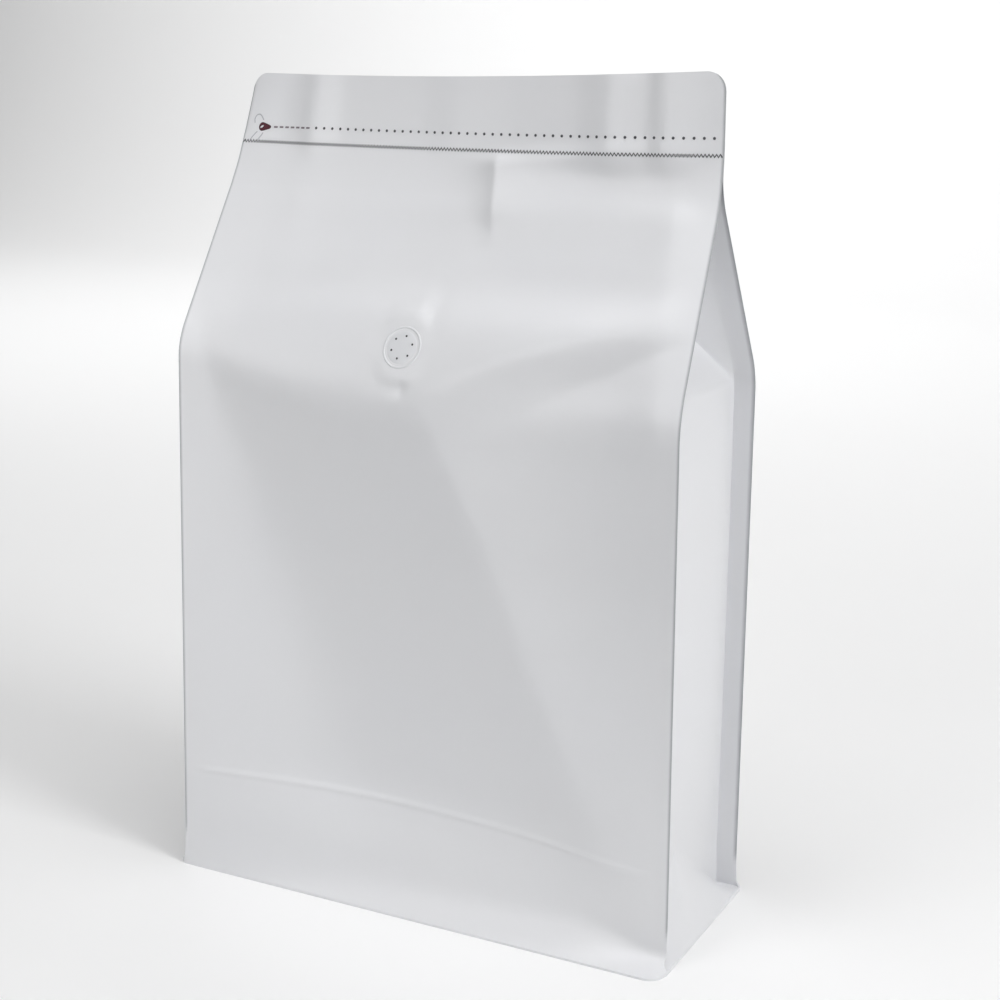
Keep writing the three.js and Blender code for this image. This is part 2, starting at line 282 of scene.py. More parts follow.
def makeValveMaterial():
    material, graph, shader = newMaterial("valve")
    drift = noise(graph, valveLook["drift"], 2)
    grain = noise(graph, valveLook["grain"], 2)
    colour = mixColour(graph, drift, valveLook["colour"], valveLook["deeper"])
    relief = graph.add("ShaderNodeBump", {}, {"Distance": valveLook["grainHeight"], "Height": grain})
    graph.feed(shader.inputs["Base Color"], colour)
    graph.feed(shader.inputs["Roughness"], valveLook["roughness"] + (grain - 0.5) * 0.08)
    graph.feed(shader.inputs["Normal"], relief)
    return material


inksAndHoleShade = {  # colour, the same where it is worn or mottled, and roughness; the pin holes' colours are painted shade, not ink
    # pinHole: near-black painted shade standing for the dark insides of the valve's pin holes
    "pinHole": ((0.03, 0.03, 0.035), (0.05, 0.05, 0.055), 0.6),
    "zigzagInk": ((0.022, 0.022, 0.028), (0.04, 0.04, 0.046), 0.6),
    "perforationInk": ((0.05, 0.05, 0.06), (0.09, 0.09, 0.10), 0.55),
    "dashInk": ((0.16, 0.13, 0.15), (0.26, 0.22, 0.24), 0.5),
    "dieCut": ((0.42, 0.42, 0.46), (0.52, 0.52, 0.55), 0.5),
}
inkAndShadePatches = {"scale": 900, "roughness": 0.12}


# ink, or for the pin holes painted shade, mottled by patchy noise
def makeInkOrHoleShadeMaterial(name):
    colour, wornOrMottled, roughness = inksAndHoleShade[name]
    material, graph, shader = newMaterial(name)
    patchy = noise(graph, inkAndShadePatches["scale"], 2)
    graph.feed(shader.inputs["Base Color"], mixColour(graph, patchy, colour, wornOrMottled))
    graph.feed(shader.inputs["Roughness"], roughness + (patchy - 0.5) * inkAndShadePatches["roughness"])
    return material


def makeFloorMaterial():
    material, graph, shader = newMaterial("floor")
    drift = noise(graph, 2, 2)
    colour = mixColour(graph, drift, studio["floorColour"], studio["floorLighter"])
    graph.feed(shader.inputs["Base Color"], colour)
    shader.inputs["Roughness"].default_value = 0.9
    shader.inputs["Specular IOR Level"].default_value = 0.1
    shader.inputs["Emission Color"].default_value = (1, 1, 1, 1)
    shader.inputs["Emission Strength"].default_value = studio["floorGlow"]
    return material


# The bag's film: one closed skin of front panel, back panel, fins, gussets and base

film = {
    "halfWidth": 119.5,
    "height": 365,
    "topDrop": {"left": 2, "middle": 2, "below": 20},
    "topCorner": 8,
    "finThickness": 0.45,
    "headerThickness": 0.7,
    "seamThickening": 1.2,    # of the fins near the base seam
    "seamHeight": 10,
    "baseHalfWidth": 121.8,
    "baseHalfDepth": 50,
    "cornerRadius": {"frontRight": 8, "other": 3},
    "rimThickness": 1,
    "flareHeight": {"middle": 20, "right": 7},
    "flareTurn": 2.4,
    "frontWall": {"leftBase": -48.5, "rightBase": -36.8, "leftShoulder": -41, "rightShoulder": -42},
    "backWall": {"leftBase": 47, "rightBase": 47.2, "leftShoulder": 45, "rightShoulder": 45.5},
    "shoulder": 236,
    "frontShoulder": {"lowest": 226, "rise": 18, "middle": 30, "reach": 137},
    "backShoulder": {"lowest": 232, "rise": 8, "middle": 0, "reach": 119.5},
    "shoulderSoftness": 5,
    "belly": 3,               # of the back panel
    "bellyFrom": (0, 120),    # heights over which belly and sag set in, and over which each ends
    "bellyTo": (300, 200),
    "frontSag": 2.5,
    "sagTo": (331, 290),
    "creasesFrom": (4, 60),
    "header": {
        "bottom": 328, "overlap": 12, "left": 11.5, "right": -4.5, "leanLeft": 0.4, "leanRight": -0.03,
        "waveFade": 8,
    },
    "headerSoftness": 5,
    "gableTop": {"left": 327, "right": 318},
}

# The front panel bends along these creases: two ends (x, z), the slope gained across each, its
# softness at either end, how far from its ends it fades out, and the heights it ends between
frontCreases = [
    {"start": (-113, 256), "end": (-25, 18), "bend": -0.34, "soft": (2, 24), "fadeStart": 12, "fadeEnd": 90,
     "top": (285, 238)},
    {"start": (6, 224), "end": (118, -12), "bend": 0.27, "soft": (3, 8), "fadeStart": 14, "fadeEnd": 50,
     "top": (285, 238)},
    {"start": (99, 282), "end": (66, 22), "bend": -0.48, "soft": (50, 50), "fadeStart": 37, "fadeEnd": 43,
     "top": (285, 238)},
    {"start": (101, 322), "end": (109, 222), "bend": 0.26, "soft": (2, 4), "fadeStart": 20, "fadeEnd": 16,
     "top": (331, 305)},
]
# Small pleats: height out of the panel (below 0 for a groove), and width on each side of their line
frontPleats = [
    {"start": (18, 331), "end": (21.5, 289), "height": 4.2, "left": 9, "right": 34, "soft": 0.5,
     "fadeStart": 4, "fadeEnd": 26},
    {"start": (-5.4, 260), "end": (-3.6, 278), "height": 0.7, "left": 2.8, "right": 8, "soft": 0.7,
     "fadeStart": 3, "fadeEnd": 12},
    {"start": (-0.5, 255), "end": (9, 280), "height": -0.6, "left": 9, "right": 3.5, "soft": 0.8,
     "fadeStart": 3, "fadeEnd": 14},
    {"start": (-6.5, 241), "end": (-5.5, 230), "height": -1.3, "left": 4, "right": 4, "soft": 0.8,
     "fadeStart": 2, "fadeEnd": 6},
    {"start": (12, 303), "end": (112, 304), "height": -0.7, "left": 9, "right": 14, "soft": 2.5,
     "fadeStart": 10, "fadeEnd": 30},
]
# The header's wave: places across and how far it stands back (mm) from a straight run
headerWave = [
    (-119.5, -1.2), (-98, 0.3), (-90, 0.1), (-81, -1.4), (-66, 0.3), (-21, 0.3), (-6, -0.4), (21, -0.4),
    (36, -0.9), (55, -1.5), (71, -3.6), (85, -0.9), (88, -1), (94, -2.6), (108, 0.2), (119.5, 1),
]
foldMark = {
    "height": 47.7, "fall": 3.3, "start": -10, "reach": 81, "rise": 0.45, "soft": 1.3, "fade": (4, 12),
}
valve = {  # round it the film lies flat, and the pleats set in a little way off
    "x": -8.4, "z": 251.7, "radius": 8.7, "flatFrom": 2, "flatTo": 9, "pleatsFrom": 3,
}


def leftToRight(x):
    return np.clip((x / film["halfWidth"] + 1) / 2, 0, 1)


def headerY(x, z):
    head = film["header"]
    across = leftToRight(x)
    lean = mix(head["leanLeft"], head["leanRight"], np.sqrt(across))
    above = np.maximum(z - head["bottom"], -head["overlap"])
    places, depths = zip(*headerWave)
    wave = sum(np.interp(x + step, places, depths) for step in (-3, -1.5, 0, 1.5, 3)) / 5
    wave = wave * ease(head["bottom"] - head["waveFade"], head["bottom"] + head["waveFade"], z)
    return mix(head["left"], head["right"], across) + lean * above + wave


def shoulderZ(shoulder, x):
    return shoulder["lowest"] + shoulder["rise"] * ((x - shoulder["middle"]) / shoulder["reach"]) ** 2


def wallY(wall, x, z):
    across = leftToRight(x)
    atBase = mix(wall["leftBase"], wall["rightBase"], across)
    atShoulder = mix(wall["leftShoulder"], wall["rightShoulder"], across)
    return mix(atBase, atShoulder, z / film["shoulder"])


def gableY(wall, shoulder, x, z):  # the slope from the shoulder to the header
    low = shoulderZ(shoulder, x)
    high = mix(film["gableTop"]["left"], film["gableTop"]["right"], leftToRight(x))
    return mix(wallY(wall, x, low), headerY(x, high), (z - low) / (high - low))


def lineFrame(line, x, z):
    # how far a point is along a line on the panel and to the right of it, and the line's length
    (x0, z0), (x1, z1) = line["start"], line["end"]
    length = math.hypot(x1 - x0, z1 - z0)
    alongX, alongZ = (x1 - x0) / length, (z1 - z0) / length
    along = (x - x0) * alongX + (z - z0) * alongZ
    across = (z - z0) * alongX - (x - x0) * alongZ
    return along, across, length


def creaseRelief(crease, x, z):
    along, across, length = lineFrame(crease, x, z)
    inside = ease(-crease["fadeStart"], crease["fadeStart"], along)
    inside = inside * ease(-crease["fadeEnd"], crease["fadeEnd"], length - along)
    soft = mix(*crease["soft"], np.clip(along / length, 0, 1))
    return crease["bend"] * ramp(across, soft) * inside * ease(*crease["top"], z)


def hinged(crease, x, z):  # the same relief, with both side edges kept where they are
    edge = np.full_like(x, film["halfWidth"])
    atEdges = mix(creaseRelief(crease, -edge, z), creaseRelief(crease, edge, z), leftToRight(x))
    return creaseRelief(crease, x, z) - atEdges


def pleatRelief(pleat, x, z):
    along, across, length = lineFrame(pleat, x, z)
    if pleat["end"][1] > pleat["start"][1]:
        across = -across  # a line that climbs has its left side at the other hand
    width = np.where(across < 0, pleat["left"], pleat["right"])
    away = np.sqrt(across ** 2 + pleat["soft"] ** 2) - pleat["soft"]
    inside = ease(-pleat["fadeStart"], pleat["fadeStart"], along)
    inside = inside * ease(0, pleat["fadeEnd"], length - along)
    return -pleat["height"] * np.exp(-away / width) * inside


def rimY(x, radius):
    past = np.clip(np.abs(x) - (film["baseHalfWidth"] - radius), 0, radius)
    return film["baseHalfDepth"] - radius + np.sqrt(radius ** 2 - past ** 2)


def flare(x, z):
    height = mix(film["flareHeight"]["middle"], film["flareHeight"]["right"], ease(70, 116, x))
    up = np.clip((z - film["rimThickness"]) / height, 0, 1)
    return (1 - up) ** film["flareTurn"]


def frontSag(x, z):  # the front panel lies a little back between its side seals
    across = np.cos(x / film["halfWidth"] * math.pi / 2)
    return film["frontSag"] * across * ease(*film["bellyFrom"], z) * ease(*film["sagTo"], z)


def backBelly(x, z):
    across = np.cos(x / film["halfWidth"] * math.pi / 2)
    return film["belly"] * across * ease(*film["bellyFrom"], z) * ease(*film["bellyTo"], z)


def frontRelief(x, z):
    x, z = np.broadcast_arrays(np.asarray(x, float), np.asarray(z, float))
    fromEdge = film["halfWidth"] - np.abs(x)
    relief = sum(hinged(crease, x, z) for crease in frontCreases) * ease(*film["creasesFrom"], z)
    past = np.maximum(0, x - foldMark["start"]) / foldMark["reach"]
    markZ = foldMark["height"] - foldMark["fall"] * past ** 2
    mark = foldMark["rise"] * bump(z - markZ, foldMark["soft"])
    return relief + frontSag(x, z) - mark * ease(*foldMark["fade"], fromEdge)


def roughFrontY(x, z):
    wall = wallY(film["frontWall"], x, z)
    gable = gableY(film["frontWall"], film["frontShoulder"], x, z)
    body = softMax(wall, gable, film["shoulderSoftness"]) + frontRelief(x, z)
    face = softMin(body, headerY(x, z) - film["headerThickness"] / 2, film["headerSoftness"])
    radius = np.where(x > 0, film["cornerRadius"]["frontRight"], film["cornerRadius"]["other"])
    return mix(face, -rimY(x, radius), flare(x, z))


@functools.cache
def valvePlane():
    step = 6
    x, z = valve["x"], valve["z"]
    at = roughFrontY(x, z)
    slopeX = (roughFrontY(x + step, z) - roughFrontY(x - step, z)) / (2 * step)
    slopeZ = (roughFrontY(x, z + step) - roughFrontY(x, z - step)) / (2 * step)
    return float(at), float(slopeX), float(slopeZ)


def backY(x, z):
    wall = wallY(film["backWall"], x, z)
    gable = gableY(film["backWall"], film["backShoulder"], x, z)
    body = softMin(wall, gable, film["shoulderSoftness"]) + backBelly(x, z)
    face = softMax(body, headerY(x, z) + film["headerThickness"] / 2, film["headerSoftness"])
    return mix(face, rimY(x, film["cornerRadius"]["other"]), flare(-np.abs(x), z))


def frontY(x, z):
    at, slopeX, slopeZ = valvePlane()
    plane = at + slopeX * (x - valve["x"]) + slopeZ * (z - valve["z"])
    away = np.hypot(x - valve["x"], z - valve["z"]) - valve["radius"]
    lying = ease(valve["flatFrom"], valve["flatTo"], away)
    pleats = sum(pleatRelief(pleat, x, z) for pleat in frontPleats)
    free = roughFrontY(x, z) + pleats * ease(0, valve["pleatsFrom"], away)
    return np.minimum(mix(plane, free, lying), backY(x, z) - film["headerThickness"])


def dipAt(x, z):  # the top edge dips a little at its left end and its middle
    sag = film["topDrop"]["middle"] * (1 - (x / film["halfWidth"]) ** 2)
    dip = sag + film["topDrop"]["left"] * (1 - leftToRight(x))
    return dip * ease(film["header"]["bottom"] - film["topDrop"]["below"], film["height"], z)


def settle(points):
    points[:, 2] -= dipAt(points[:, 0], points[:, 2])
    return points


def halfWidthAt(z):
    pastCorner = max(0, z - (film["height"] - film["topCorner"]))
    corner = film["topCorner"] - math.sqrt(max(0, film["topCorner"] ** 2 - pastCorner ** 2))
    rim = (film["baseHalfWidth"] - film["halfWidth"]) * float(ease(4, film["rimThickness"], z))
    return film["halfWidth"] + rim - corner


gusset = {
    "plane": 110,            # x of the upright gusset, where the fins are sealed to it
    "half": 42,              # half of its flat width
    "belly": 4.0,
    "baseFold": {"height": 45, "place": -0.38},  # peak of the folded triangle over the base
    "gableFold": 55,         # peak of the folded triangle under the closed top
    "bellyFrom": (4, 85),    # heights over which the belly sets in, and over which it ends
    "bellyTo": (245, 205),
    "leastGap": 0.3,         # half the gap at which a side is taken as shut
    "leastSlit": 0.25,       # and the narrowest place that may be left in it
}


def bellyAlong(z):  # the gusset fills out between the base fold and the shoulder
    return ease(*gusset["bellyFrom"], z) * ease(*gusset["bellyTo"], z)


def baseFoldPlaces(z):
    peak = gusset["baseFold"]["place"]
    t = min(1, max(0, (z - film["rimThickness"]) / gusset["baseFold"]["height"]))
    return mix(-1, peak, t), mix(1, peak, t)


def flatHalf(above, halfGap):
    flat = gusset["half"] * np.clip(1 - above / gusset["gableFold"], 0, 1)
    return float(min(flat, halfGap * 0.98))


def gussetOffset(place, halfGap, z):
    fold = gusset["baseFold"]
    toFront = (place + 1) / (fold["place"] + 1)
    toBack = (1 - place) / (1 - fold["place"])
    foldZ = fold["height"] * np.clip(np.where(place < fold["place"], toFront, toBack), 0, 1)
    spread = np.where(foldZ > 0.01, 1 - (z - film["rimThickness"]) / np.maximum(foldZ, 0.01), 0)
    overBase = (film["baseHalfWidth"] - gusset["plane"]) * np.clip(spread, 0, 1)
    belly = gusset["belly"] * (1 - np.abs(place) ** 5) * bellyAlong(z)
    above = z - film["shoulder"]
    if above <= 0:
        return np.maximum(overBase, belly * np.clip(1 - spread, 0, 1))
    half = min(halfGap, gusset["half"])
    flat = flatHalf(above, half)
    depth = math.sqrt(max(0, (gusset["half"] - half) * (gusset["half"] + half - 2 * flat)))
    slope = np.clip((half - np.abs(place) * halfGap) / max(half - flat, 0.01), 0, 1)
    return -depth * slope + belly


# Columns of the mesh on each outer and inner stretch of a gusset, and on the inside of a fin
edgeColumns, foldColumns, finColumns = 12, 12, 5


def gussetPlaces(z, halfGap):
    if z <= film["shoulder"]:
        low, high = baseFoldPlaces(z)
        t = float(ease(gusset["baseFold"]["height"], film["shoulder"], z))
        low, middle, high = mix(low, -0.97, t), mix(gusset["baseFold"]["place"], 0, t), mix(high, 0.97, t)
        if z < gusset["baseFold"]["height"]:
            middle = (low + high) / 2
    else:
        high = max(0.01, min(0.97, flatHalf(z - film["shoulder"], halfGap) / halfGap))
        low, middle = -high, 0.0
    corners = [-1, low, middle, high, 1]
    counts = [edgeColumns, foldColumns, foldColumns, edgeColumns]
    places = [mix(a, b, i / n) for a, b, n in zip(corners, corners[1:], counts) for i in range(n)]
    return np.array(places + [1.0])


def sideSection(side, z, halfWidth):
    # from the front fin's edge round the gusset to the back fin's edge, or None where it is shut
    nearSeam = float(ease(film["seamHeight"], film["rimThickness"], z))
    thickness = film["finThickness"] + film["seamThickening"] * nearSeam

    def inner(x):
        return frontY(side * x, np.full_like(x, z)) + thickness

    def outer(x):
        return backY(side * x, np.full_like(x, z)) - thickness

    plane = np.array([float(gusset["plane"])])
    halfGap = float((outer(plane) - inner(plane))[0]) / 2
    if halfGap < gusset["leastGap"]:
        return None
    places = gussetPlaces(z, halfGap)
    gussetX = gusset["plane"] + gussetOffset(places, halfGap, z)
    finX = np.linspace(halfWidth, gusset["plane"], finColumns + 1)[:-1]
    gaps = outer(np.concatenate([finX, gussetX])) - inner(np.concatenate([finX, gussetX]))
    if gaps.min() < gusset["leastSlit"]:
        return None
    finX = np.maximum(finX, gussetX[0])
    front = np.stack([finX, inner(finX)], 1)
    across = mix(inner(gussetX), outer(gussetX), (places + 1) / 2)
    middle = np.stack([gussetX, across], 1)
    back = np.stack([finX[::-1], outer(finX[::-1])], 1)
    points = np.concatenate([front, middle, back])
    return np.column_stack([side * points[:, 0], points[:, 1], np.full(len(points), z)])


cornerRows = 8


def rowHeights():
    spans = [  # from, to, and the step between rows
        (0, 1, 0.5), (1, 4, 0.6), (4, 12, 1.1), (12, 24, 2), (24, 42, 3), (42, 53, 0.7), (53, 65, 3),
        (65, 215, 4), (215, 262, 2), (262, 289, 2.25), (289, 340, 1.6), (340, 357, 2.4),
    ]
    heights = []
    for low, high, step in spans:
        count = round((high - low) / step)
        heights += [mix(low, high, i / count) for i in range(count)]
    straight = film["height"] - film["topCorner"]
    for turn in range(cornerRows + 1):  # to just under the top, where the corner's curve is level
        heights.append(straight + math.sin(turn / cornerRows * math.pi / 2) * (film["topCorner"] - 0.02))
    return heights


bodyColumns, finOuterColumns = 168, 8  # across a panel and across each of its fins


def panelX(halfWidth, thinning):
    # places across a panel: even over the body, closer on the fins
    body = np.linspace(-gusset["plane"], gusset["plane"], bodyColumns // thinning + 1)
    fin = np.linspace(gusset["plane"], halfWidth, finOuterColumns // thinning + 1)[1:]
    return np.concatenate([-fin[::-1], body, fin])


def buildFilm():
    heights = rowHeights()
    vertices, faces = [], []

    def put(points):
        first = sum(len(p) for p in vertices)
        vertices.append(settle(points.copy()))
        return list(range(first, first + len(points)))

    rows = []
    for z in heights:
        halfWidth = halfWidthAt(z)
        frontX, backX = panelX(halfWidth, 1), panelX(halfWidth, 2)[::-1]
        level = np.full_like(frontX, z)
        backLevel = np.full_like(backX, z)
        row = {
            "front": put(np.column_stack([frontX, frontY(frontX, level), level])),
            "back": put(np.column_stack([backX, backY(backX, backLevel), backLevel])),
            "right": None,
            "left": None,
        }
        if z > film["rimThickness"] + 0.01 and z < film["header"]["bottom"]:
            for name, side in (("right", 1), ("left", -1)):
                section = sideSection(side, z, halfWidth)
                if section is not None:
                    row[name] = put(section if side > 0 else section[::-1])
        rows.append(row)

    def strip(low, high):
        for i in range(len(low) - 1):
            faces.append((low[i], low[i + 1], high[i + 1], high[i]))

    def closeSlit(points):  # at the end of a fold, side to side
        count = len(points)
        for i in range(count // 2 - 1):
            faces.append((points[i], points[i + 1], points[count - 2 - i], points[count - 1 - i]))
        if count % 2:
            m = count // 2
            faces.append((points[m - 1], points[m], points[m + 1]))

    for low, high in zip(rows, rows[1:]):
        strip(low["front"], high["front"])
        strip(low["back"], high["back"])
        for name, first, last in (("right", "front", "back"), ("left", "back", "front")):
            lowPath = [low[first][-1], *(low[name] or []), low[last][0]]
            highPath = [high[first][-1], *(high[name] or []), high[last][0]]
            if len(lowPath) == len(highPath):
                strip(lowPath, highPath)
            elif low[name]:
                closeSlit(lowPath)
                strip([lowPath[0], lowPath[-1]], [highPath[0], highPath[-1]])
            else:
                closeSlit(highPath[::-1])
                strip([lowPath[0], lowPath[-1]], [highPath[0], highPath[-1]])
    top = rows[-1]
    front, back = top["front"], top["back"][::-1]
    for i in range(len(back) - 1):
        a, b, c = front[2 * i], front[2 * i + 1], front[2 * i + 2]
        faces += [(a, b, back[i]), (b, back[i + 1], back[i]), (b, c, back[i + 1])]
    closeBase(rows[0], faces, put)
    return np.concatenate(vertices), faces


base = {  # each ring of the base: how far in from the rim, and how far above the floor
    "rings": [(8, 0.0), (9, 0.25), (30, 0.6), (46, 0.6)],
}


def closeBase(row, faces, put):
    # the base panel: a sealed rim all round, then the panel, a little above the floor
    front, back = row["front"], row["back"][::-1]
    half, deep = film["baseHalfWidth"], film["baseHalfDepth"]
    rings = [(front, back)]
    for inset, rise in base["rings"]:
        x = panelX(half - inset, 1)
        xBack = panelX(half - inset, 2)
        if half - inset < gusset["plane"]:
            x = np.linspace(-(half - inset), half - inset, len(front))
            xBack = x[::2]
        y = deep - inset
        rings.append((
            put(np.column_stack([x, np.full_like(x, -y), np.full_like(x, rise)])),
            put(np.column_stack([xBack, np.full_like(xBack, y), np.full_like(xBack, rise)])),
        ))
    for (outFront, outBack), (inFront, inBack) in zip(rings, rings[1:]):
        for i in range(len(outFront) - 1):
            faces.append((outFront[i + 1], outFront[i], inFront[i], inFront[i + 1]))
        for i in range(len(outBack) - 1):
            faces.append((outBack[i], outBack[i + 1], inBack[i + 1], inBack[i]))
        faces.append((outFront[-1], inFront[-1], inBack[-1], outBack[-1]))
        faces.append((outFront[0], outBack[0], inBack[0], inFront[0]))
    inFront, inBack = rings[-1]
    for i in range(len(inBack) - 1):
        a, b, c = inFront[2 * i], inFront[2 * i + 1], inFront[2 * i + 2]
        faces.extend([(b, a, inBack[i]), (b, inBack[i], inBack[i + 1]), (c, b, inBack[i + 1])])


filmMarks = {  # where each mark on the film goes from 0 to 1
    "fin": (gusset["plane"] - 0.6, gusset["plane"] + 0.6),
    "header": (331, 333),
    "rim": (6, 3),
    "cut": (0.35, 0.1),      # distance from the fin's edge
    "cutFrom": (12, 20),
}


def markFilm(mesh):
    # 1 along the cut edges, and 1 on the sealed fins, header and rim
    place = np.empty(len(mesh.vertices) * 3)
    mesh.vertices.foreach_get("co", place)
    place = place.reshape(-1, 3) / mm
    x, _, z = place.T
    halfWidth = np.array([halfWidthAt(value) for value in np.clip(z, 0, film["height"])])
    onFin = ease(*filmMarks["fin"], np.abs(x))
    onHeader = ease(*filmMarks["header"], z)
    onRim = ease(*filmMarks["rim"], z)
    seal = np.maximum(np.maximum(onFin, onHeader), onRim)
    cut = ease(*filmMarks["cut"], halfWidth - np.abs(x)) * ease(*filmMarks["cutFrom"], z)
    for name, values in (("seal", seal), ("cutEdge", cut)):
        attribute = mesh.attributes.new(name, "FLOAT", "POINT")
        attribute.data.foreach_set("value", np.asarray(values, np.float32))


def shadeSmooth(mesh, sharpFrom=40):  # degrees
    mesh.shade_smooth()
    mesh.set_sharp_from_angle(angle=math.radians(sharpFrom))


def meshFrom(work, name):
    bmesh.ops.recalc_face_normals(work, faces=work.faces)
    mesh = bpy.data.meshes.new(name)
    work.to_mesh(mesh)
    work.free()
    return mesh


def makeObject(name, mesh, material):
    piece = bpy.data.objects.new(name, mesh)
    scene.collection.objects.link(piece)
    mesh.materials.clear()
    mesh.materials.append(material)
    return piece


def makeFilm(material):
    points, faces = buildFilm()
    mesh = bpy.data.meshes.new("bagFilm")
    mesh.from_pydata((points * mm).tolist(), [], faces)
    work = bmesh.new()
    work.from_mesh(mesh)
    bmesh.ops.recalc_face_normals(work, faces=work.faces)
    openEdges = sum(1 for edge in work.edges if len(edge.link_faces) != 2)
    work.to_mesh(mesh)
    work.free()
    shadeSmooth(mesh)
    markFilm(mesh)
    print("film:", len(mesh.polygons), "faces,", openEdges, "open edges")
    return makeObject("bagFilm", mesh, material)


# Laying flat shapes on the front panel

def onFront(x, z):  # y of the front panel where it is finally seen at (x, z)
    flat = np.asarray(z, float)
    for _ in range(4):
        flat = z + dipAt(x, flat)
    return frontY(np.asarray(x, float), flat)


def frontPoint(x, z, lift):
    # a point on the panel at (x, z), lifted off it
    step = 0.4
    slopeX = float(onFront(x + step, z) - onFront(x - step, z)) / (2 * step)
    slopeZ = float(onFront(x, z + step) - onFront(x, z - step)) / (2 * step)
    outward = Vector((slopeX, -1, slopeZ)).normalized()
    return Vector((x, float(onFront(x, z)), z)) + outward * lift


def layPlate(name, loops, thickness, material):
    # a thin closed plate from flat loops (x, z) of equal count, the outermost first
    count = len(loops[0])
    work = bmesh.new()
    sheets = []
    lift, buried = 0.03, -0.05
    for height in (lift + thickness, buried):
        sheets.append([[work.verts.new(frontPoint(x, z, height) * mm) for x, z in loop] for loop in loops])
    top, bottom = sheets
    for level in range(len(loops) - 1):
        for i in range(count):
            j = (i + 1) % count
            work.faces.new((top[level][i], top[level][j], top[level + 1][j], top[level + 1][i]))
            work.faces.new((bottom[level][i], bottom[level + 1][i], bottom[level + 1][j], bottom[level][j]))
    for level in (0, len(loops) - 1):
        for i in range(count):
            j = (i + 1) % count
            work.faces.new((top[level][i], bottom[level][i], bottom[level][j], top[level][j]))
    mesh = meshFrom(work, name)
    last = len(loops) - 1
    depth = [level / last for _ in sheets for level in range(len(loops)) for _ in range(count)]
    attribute = mesh.attributes.new("inward", "FLOAT", "POINT")
    attribute.data.foreach_set("value", depth)
    shadeSmooth(mesh)
    return makeObject(name, mesh, material)


def layThread(work, path, width, height):
    # a fine closed cord of five sides along a path on the panel
    rings = []
    for i, (x, z) in enumerate(path):
        before, after = path[max(i - 1, 0)], path[min(i + 1, len(path) - 1)]
        alongX, alongZ = after[0] - before[0], after[1] - before[1]
        size = math.hypot(alongX, alongZ)
        acrossX, acrossZ = -alongZ / size * width / 2, alongX / size * width / 2
        section = [(-1, -0.04), (-0.7, height * 0.7), (0, height), (0.7, height * 0.7), (1, -0.04)]
        rings.append([
            work.verts.new(frontPoint(x + acrossX * side, z + acrossZ * side, lift) * mm)
            for side, lift in section
        ])
    for first, second in zip(rings, rings[1:]):
        for i in range(5):
            j = (i + 1) % 5
            work.faces.new((first[i], first[j], second[j], second[i]))
    work.faces.new(rings[0])
    work.faces.new(rings[-1][::-1])


# Trees of geometry nodes: each is made here, run once and turned into a plain mesh

def newTree(name, sizes):
    # a tree with one named number, material or object input for each entry of sizes
    tree = bpy.data.node_groups.new(name, "GeometryNodeTree")
    for label, value in sizes.items():
        kind = "NodeSocketFloat"
        if isinstance(value, bpy.types.Object):
            kind = "NodeSocketObject"
        elif isinstance(value, bpy.types.Material):
            kind = "NodeSocketMaterial"
        elif isinstance(value, int):
            kind = "NodeSocketInt"
        tree.interface.new_socket(label, in_out="INPUT", socket_type=kind)
    tree.interface.new_socket("Geometry", in_out="OUTPUT", socket_type="NodeSocketGeometry")
    graph = Graph(tree)
    entry = tree.nodes.new("NodeGroupInput")
    wires = {label: Wire(graph, entry.outputs[label]) for label in sizes}
    return tree, graph, wires


def closeTree(tree, graph, geometry, material):
    solid = graph.add("GeometryNodeRealizeInstances", {}, {"Geometry": geometry})
    dressed = graph.add("GeometryNodeSetMaterial", {}, {"Geometry": solid, "Material": material})
    leave = tree.nodes.new("NodeGroupOutput")
    graph.feed(leave.inputs["Geometry"], dressed)


def runTree(name, tree, sizes):
    holder = bpy.data.objects.new(name + "Maker", bpy.data.meshes.new(name + "Maker"))
    scene.collection.objects.link(holder)
    modifier = holder.modifiers.new("tree", "NODES")
    modifier.node_group = tree
    for item in tree.interface.items_tree:
        if item.item_type == "SOCKET" and item.in_out == "INPUT":
            modifier[item.identifier] = sizes[item.name]
    depsgraph = bpy.context.evaluated_depsgraph_get()
    mesh = bpy.data.meshes.new_from_object(holder.evaluated_get(depsgraph))
    mesh.name = name
    holder.modifiers.clear()
    bpy.data.objects.remove(holder)
    piece = bpy.data.objects.new(name, mesh)
    scene.collection.objects.link(piece)
    shadeSmooth(mesh)
    return piece


def vector(graph, x, y, z):
    return graph.add("ShaderNodeCombineXYZ", {}, {"X": x, "Y": y, "Z": z})


def position(graph):  # x, y and z of each point
    place = graph.add("GeometryNodeInputPosition", {}, {})
    return [graph.add("ShaderNodeSeparateXYZ", {}, {0: place}, i) for i in range(3)]


def layOnFilm(graph, geometry, target, lift, flatten):
    # drops a flat shape, drawn in the plane y = 0, onto the film by rays from 0.2 m in front of it
    x, y, z = position(graph)
    start = vector(graph, x, -0.2, z)
    skin = graph.add("GeometryNodeObjectInfo", {}, {"Object": target}, "Geometry")
    sockets = {
        "Target Geometry": skin, "Source Position": start,
        "Ray Direction": (0.0, 1.0, 0.0), "Ray Length": 1.0,
    }
    hit = graph.add("GeometryNodeRaycast", {}, sockets, "Hit Position")
    normal = Wire(graph, hit.socket.node.outputs["Hit Normal"])
    height = lift - y * flatten
    outward = graph.add("ShaderNodeVectorMath", {"operation": "SCALE"}, {0: normal, "Scale": height})
    landed = graph.add("ShaderNodeVectorMath", {"operation": "ADD"}, {0: hit, 1: outward})
    return graph.add("GeometryNodeSetPosition", {}, {"Geometry": geometry, "Position": landed})


# The zigzag line under the header, in a tree of geometry nodes

zigzag = {
    "Reach": 118.9 * mm, "Corners": 299, "Height": 331.7 * mm, "Rise": 0.9 * mm,
    "Swing": 0.6 * mm, "Stroke": 0.36 * mm, "Lift": 0.01 * mm,
}


